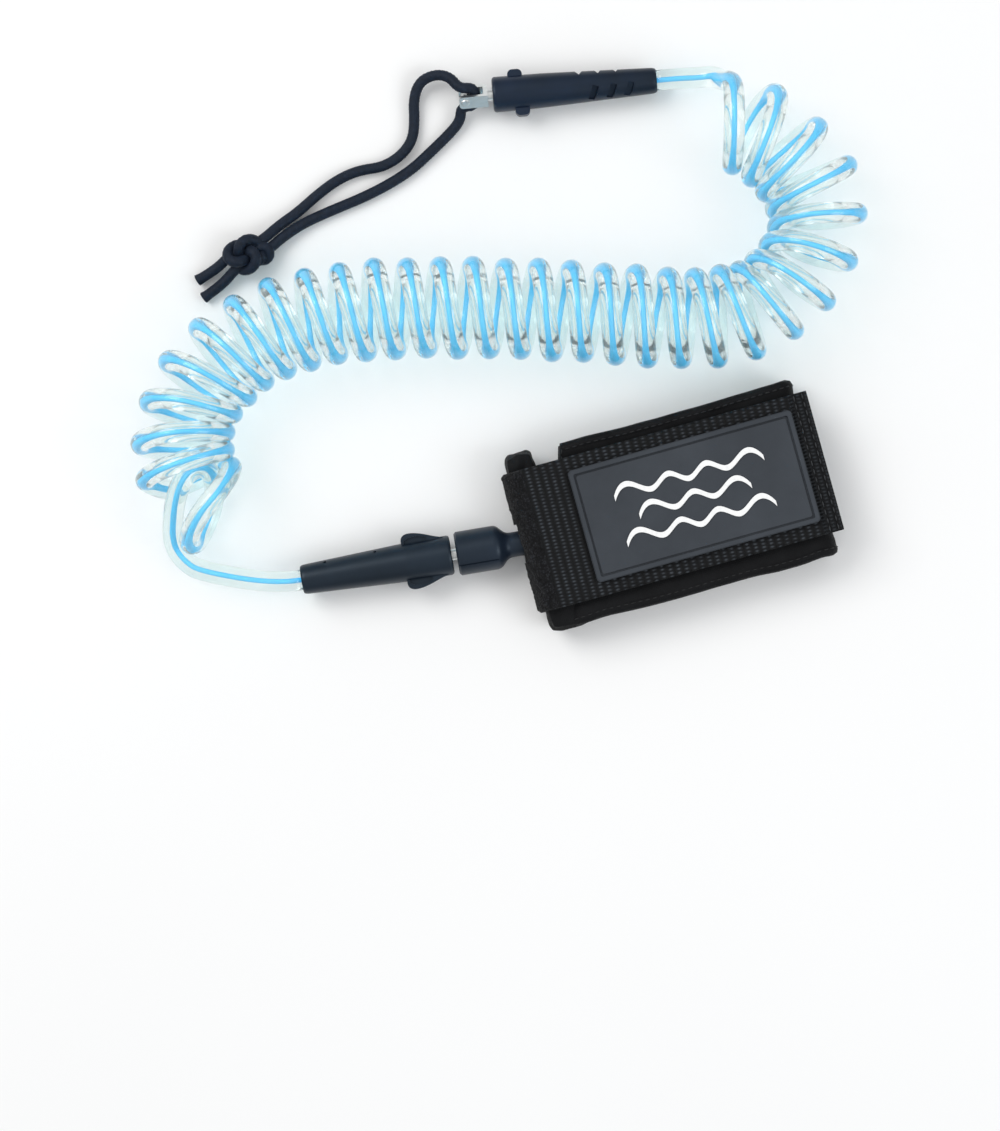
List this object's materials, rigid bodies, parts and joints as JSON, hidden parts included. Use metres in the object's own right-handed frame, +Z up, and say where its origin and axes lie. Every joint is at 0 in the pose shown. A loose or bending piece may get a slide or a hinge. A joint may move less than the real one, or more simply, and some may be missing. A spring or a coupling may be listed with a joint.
{
  "type": "coiled board leash",
  "caption": "Clear coiled leash cord with a moulded swivel at each end, a knotted string loop on a steel stirrup, and a padded ankle cuff with a hook-and-loop strap.",
  "frame": {"origin": "centre of the cuff's resting face, under the middle of the strap's width and length", "axes": "+Z up from the surface it lies on, +X along the cuff away from the cord, +Y across the cuff towards the coil"},
  "size_m": [0.2649, 0.1961, 0.0347],
  "materials": {
    "clear_cord": "clear flexible urethane with a light blue core",
    "black_rubber": "satin moulded rubber, slightly blue-black",
    "stainless": "satin stainless steel",
    "brass": "turned brass",
    "string": "tightly braided polyester cord",
    "foam": "foam rubber faced with fine knit",
    "webbing": "ribbed nylon webbing",
    "hook_loop": "hook-and-loop tape",
    "badge": "matte slate rubber",
    "emblem": "raised white print"
  },
  "bodies": {
    "cord": {"cord_coil": "clear_cord", "cord_lead_cuff": "clear_cord", "cord_lead_board": "clear_cord", "cord_end_cuff": "clear_cord", "cord_end_board": "clear_cord", "cuff_boot": "black_rubber", "cuff_swivel_barrel": "brass", "cuff_swivel_washer": "stainless", "cuff_cord_ferrule": "stainless", "board_boot": "black_rubber", "board_swivel_barrel": "brass", "board_swivel_washer": "stainless", "board_cord_ferrule": "stainless"},
    "horn": {"horn": "black_rubber", "cuff_swivel_pin": "stainless"},
    "cuff": {"cuff_wrap": "foam", "front_binding": "webbing", "back_binding": "webbing", "fold_webbing": "webbing", "fold_pad_front": "foam", "fold_pad_back": "foam", "horn_tab": "black_rubber", "horn_bar": "stainless", "loop_panel": "hook_loop"},
    "flap": {"strap_webbing": "webbing", "hook_panel": "hook_loop", "strap_end": "webbing", "badge": "badge", "badge_emblem": "emblem"},
    "stirrup": {"stirrup": "stainless", "board_swivel_pin": "stainless", "stirrup_cross_pin": "stainless"},
    "string": {"string_loop": "string", "string_knot": "string", "string_tail_left": "string", "string_tail_right": "string"}
  },
  "joints": [
    {"name": "cuff_swivel", "type": "hinge", "parent": "cord", "child": "horn", "pos_m": [-0.049, 0, 0.0085], "axis": [-0.9945, 0.1045, 0], "continuous": true},
    {"name": "horn_tilt", "type": "hinge", "parent": "horn", "child": "cuff", "pos_m": [-0.049, 0, 0.0085], "axis": [0, 1, 0], "range_deg": [-12, 15]},
    {"name": "flap_open", "type": "hinge", "parent": "cuff", "child": "flap", "pos_m": [-0.0455, 0, 0.0191], "axis": [0, -1, 0], "range_deg": [0, 180]},
    {"name": "board_swivel", "type": "hinge", "parent": "cord", "child": "stirrup", "pos_m": [-0.0307, 0.152, 0.007], "axis": [0.9836, -0.1805, 0], "continuous": true},
    {"name": "string_swing", "type": "hinge", "parent": "stirrup", "child": "string", "pos_m": [-0.0307, 0.152, 0.007], "axis": [0.1184, 0.6453, -0.7547], "range_deg": [0, 60]}
  ]
}
